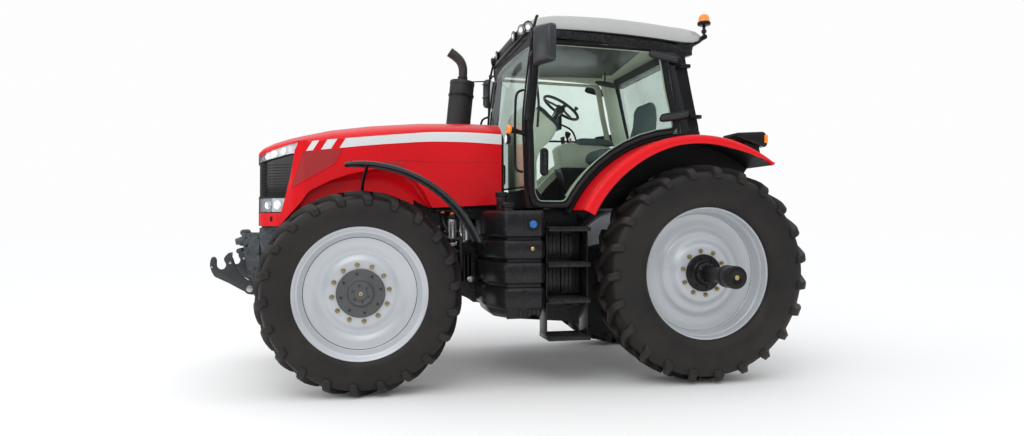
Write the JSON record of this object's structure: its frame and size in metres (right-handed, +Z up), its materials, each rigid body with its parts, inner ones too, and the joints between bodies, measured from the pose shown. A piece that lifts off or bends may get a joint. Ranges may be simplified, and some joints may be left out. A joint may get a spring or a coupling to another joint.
{
  "type": "farm tractor",
  "caption": "Four-wheel-drive farm tractor with enclosed cab, hinged bonnet, steered front axle and front and rear implement linkages.",
  "frame": {"origin": "on the ground at the middle of the tractor's length and width", "axes": "+X forward, +Y to the driver's left, +Z up"},
  "size_m": [5.9119, 3.54, 3.511],
  "materials": {
    "red_paint": "glossy red enamel",
    "roof_paint": "satin light grey enamel",
    "frame_paint": "satin black enamel",
    "casting_paint": "dark grey painted casting",
    "engine_casting": "black painted casting",
    "rim_silver": "silver-grey enamel",
    "tread_rubber": "dusty black tyre rubber",
    "black_plastic": "moulded black plastic",
    "grey_plastic": "moulded grey-green trim",
    "dark_trim": "dark moulded trim",
    "grille_plastic": "gloss black plastic mesh",
    "lamp_lens": "clear lamp lens over bright reflectors",
    "amber_lens": "amber lens",
    "tinted_glass": "green tinted glass",
    "seat_fabric": "grey woven seat cloth",
    "bright_steel": "machined steel",
    "exhaust_metal": "heat-darkened steel",
    "link_steel": "dark grey forged steel"
  },
  "bodies": {
    "chassis": {"engine_block": "engine_casting", "backbone": "casting_paint", "front_frame": "casting_paint", "front_axle_beam": "casting_paint", "exhaust_stack": "exhaust_metal", "fuel_tank_left": "black_plastic", "fuel_tank_right": "black_plastic", "steps_left": "frame_paint", "steps_right": "frame_paint", "cab_frame": "frame_paint", "cab_roof": "roof_paint", "cab_headliner": "grey_plastic", "windscreen": "tinted_glass", "rear_window": "tinted_glass", "seat_base": "dark_trim", "seat_cushion": "seat_fabric", "seat_backrest": "seat_fabric", "dashboard": "grey_plastic", "armrest_console": "dark_trim", "mirror_left": "black_plastic", "mirror_right": "black_plastic", "roof_lamps": "lamp_lens", "side_lamps": "amber_lens", "rear_lamps": "dark_trim", "rear_fender_left": "red_paint", "rear_fender_right": "red_paint", "beacon": "amber_lens", "drawbar": "link_steel", "front_linkage_frame": "link_steel"},
    "bonnet": {"bonnet": "red_paint", "bonnet_grille": "grille_plastic", "headlamps": "lamp_lens"},
    "steering_wheel": {"steering_wheel": "dark_trim"},
    "tie_rod": {"tie_rod": "link_steel"},
    "front_lift_arms": {"front_lift_arms": "link_steel"},
    "rear_lift_arms": {"rear_lift_arms": "link_steel"},
    "rear_lift_rods": {"rear_lift_rods": "link_steel"},
    "rear_lower_links": {"rear_lower_links": "link_steel"},
    "top_link": {"top_link": "link_steel"},
    "pto_shaft": {"pto_shaft": "bright_steel"},
    "door_left": {"door_left": "frame_paint", "door_glass_left": "tinted_glass"},
    "knuckle_left": {"knuckle_left": "casting_paint"},
    "front_fender_left": {"front_fender_left": "black_plastic"},
    "front_wheel_left": {"front_tyre_left": "tread_rubber", "front_rim_left": "rim_silver"},
    "rear_wheel_left": {"rear_tyre_left": "tread_rubber", "rear_rim_left": "rim_silver"},
    "door_right": {"door_right": "frame_paint", "door_glass_right": "tinted_glass"},
    "knuckle_right": {"knuckle_right": "casting_paint"},
    "front_fender_right": {"front_fender_right": "black_plastic"},
    "front_wheel_right": {"front_tyre_right": "tread_rubber", "front_rim_right": "rim_silver"},
    "rear_wheel_right": {"rear_tyre_right": "tread_rubber", "rear_rim_right": "rim_silver"}
  },
  "joints": [
    {"name": "rear_wheel_left_spin", "type": "hinge", "parent": "chassis", "child": "rear_wheel_left", "pos_m": [-1.456, 1.09, 1.002], "axis": [0, 1, 0], "continuous": true},
    {"name": "rear_wheel_right_spin", "type": "hinge", "parent": "chassis", "child": "rear_wheel_right", "pos_m": [-1.456, -1.09, 1.002], "axis": [0, 1, 0], "continuous": true},
    {"name": "steer_left", "type": "hinge", "parent": "chassis", "child": "knuckle_left", "pos_m": [1.644, 0.725, 0.871], "axis": [0, 0, 1], "range_deg": [-35, 35]},
    {"name": "steer_right", "type": "hinge", "parent": "chassis", "child": "knuckle_right", "pos_m": [1.644, -0.725, 0.871], "axis": [0, 0, 1], "range_deg": [-35, 35]},
    {"name": "tie_rod_swing", "type": "hinge", "parent": "knuckle_left", "child": "tie_rod", "pos_m": [1.414, 0.725, 0.913], "axis": [0, 0, 1], "range_deg": [-35, 35]},
    {"name": "front_fender_left_swing", "type": "hinge", "parent": "knuckle_left", "child": "front_fender_left", "pos_m": [1.644, 0.725, 1.045], "axis": [0, 0, 1], "range_deg": [-22, 22]},
    {"name": "front_wheel_left_spin", "type": "hinge", "parent": "knuckle_left", "child": "front_wheel_left", "pos_m": [1.644, 0.98, 0.871], "axis": [0, 1, 0], "continuous": true},
    {"name": "front_fender_right_swing", "type": "hinge", "parent": "knuckle_right", "child": "front_fender_right", "pos_m": [1.644, -0.725, 1.045], "axis": [0, 0, 1], "range_deg": [-22, 22]},
    {"name": "front_wheel_right_spin", "type": "hinge", "parent": "knuckle_right", "child": "front_wheel_right", "pos_m": [1.644, -0.98, 0.871], "axis": [0, 1, 0], "continuous": true},
    {"name": "steering_wheel_turn", "type": "hinge", "parent": "chassis", "child": "steering_wheel", "pos_m": [-0.431, 0, 2.671], "axis": [-0.5476, 0, 0.8367], "range_deg": [-490, 490]},
    {"name": "bonnet_lift", "type": "hinge", "parent": "chassis", "child": "bonnet", "pos_m": [0.374, 0, 2.39], "axis": [0, -1, 0], "range_deg": [0, 45]},
    {"name": "door_left_swing", "type": "hinge", "parent": "chassis", "child": "door_left", "pos_m": [-1.444, 0.962, 2.471], "axis": [0.2126, 0, 0.9771], "range_deg": [0, 70]},
    {"name": "door_right_swing", "type": "hinge", "parent": "chassis", "child": "door_right", "pos_m": [-1.444, -0.962, 2.471], "axis": [-0.2126, 0, -0.9771], "range_deg": [0, 70]},
    {"name": "front_linkage_lift", "type": "hinge", "parent": "chassis", "child": "front_lift_arms", "pos_m": [2.614, 0, 0.87], "axis": [0, 1, 0], "range_deg": [0, 50]},
    {"name": "rear_linkage_lift", "type": "hinge", "parent": "chassis", "child": "rear_lift_arms", "pos_m": [-1.686, 0, 1.14], "axis": [0, 1, 0], "range_deg": [-10, 28]},
    {"name": "lower_link_swing", "type": "hinge", "parent": "chassis", "child": "rear_lower_links", "pos_m": [-1.636, 0, 0.7], "axis": [0, 1, 0], "range_deg": [-8, 21]},
    {"name": "lift_rod_swing", "type": "hinge", "parent": "rear_lift_arms", "child": "rear_lift_rods", "pos_m": [-2.106, 0, 1.29], "axis": [0, 1, 0], "range_deg": [-19, 7]},
    {"name": "top_link_swing", "type": "hinge", "parent": "chassis", "child": "top_link", "pos_m": [-1.846, 0, 1.012], "axis": [0, -1, 0], "range_deg": [0, 85]},
    {"name": "pto_spin", "type": "hinge", "parent": "chassis", "child": "pto_shaft", "pos_m": [-1.832, 0, 0.77], "axis": [1, 0, 0], "continuous": true}
  ],
  "couplings": [
    {"joint": "steer_right", "follows": "steer_left", "ratio": 1},
    {"joint": "tie_rod_swing", "follows": "steer_left", "ratio": -1},
    {"joint": "front_fender_left_swing", "follows": "steer_left", "ratio": -0.6},
    {"joint": "front_fender_right_swing", "follows": "steer_left", "ratio": -0.6},
    {"joint": "steering_wheel_turn", "follows": "steer_left", "ratio": 14},
    {"joint": "lower_link_swing", "follows": "rear_linkage_lift", "ratio": 0.734},
    {"joint": "lift_rod_swing", "follows": "rear_linkage_lift", "ratio": -0.676}
  ]
}
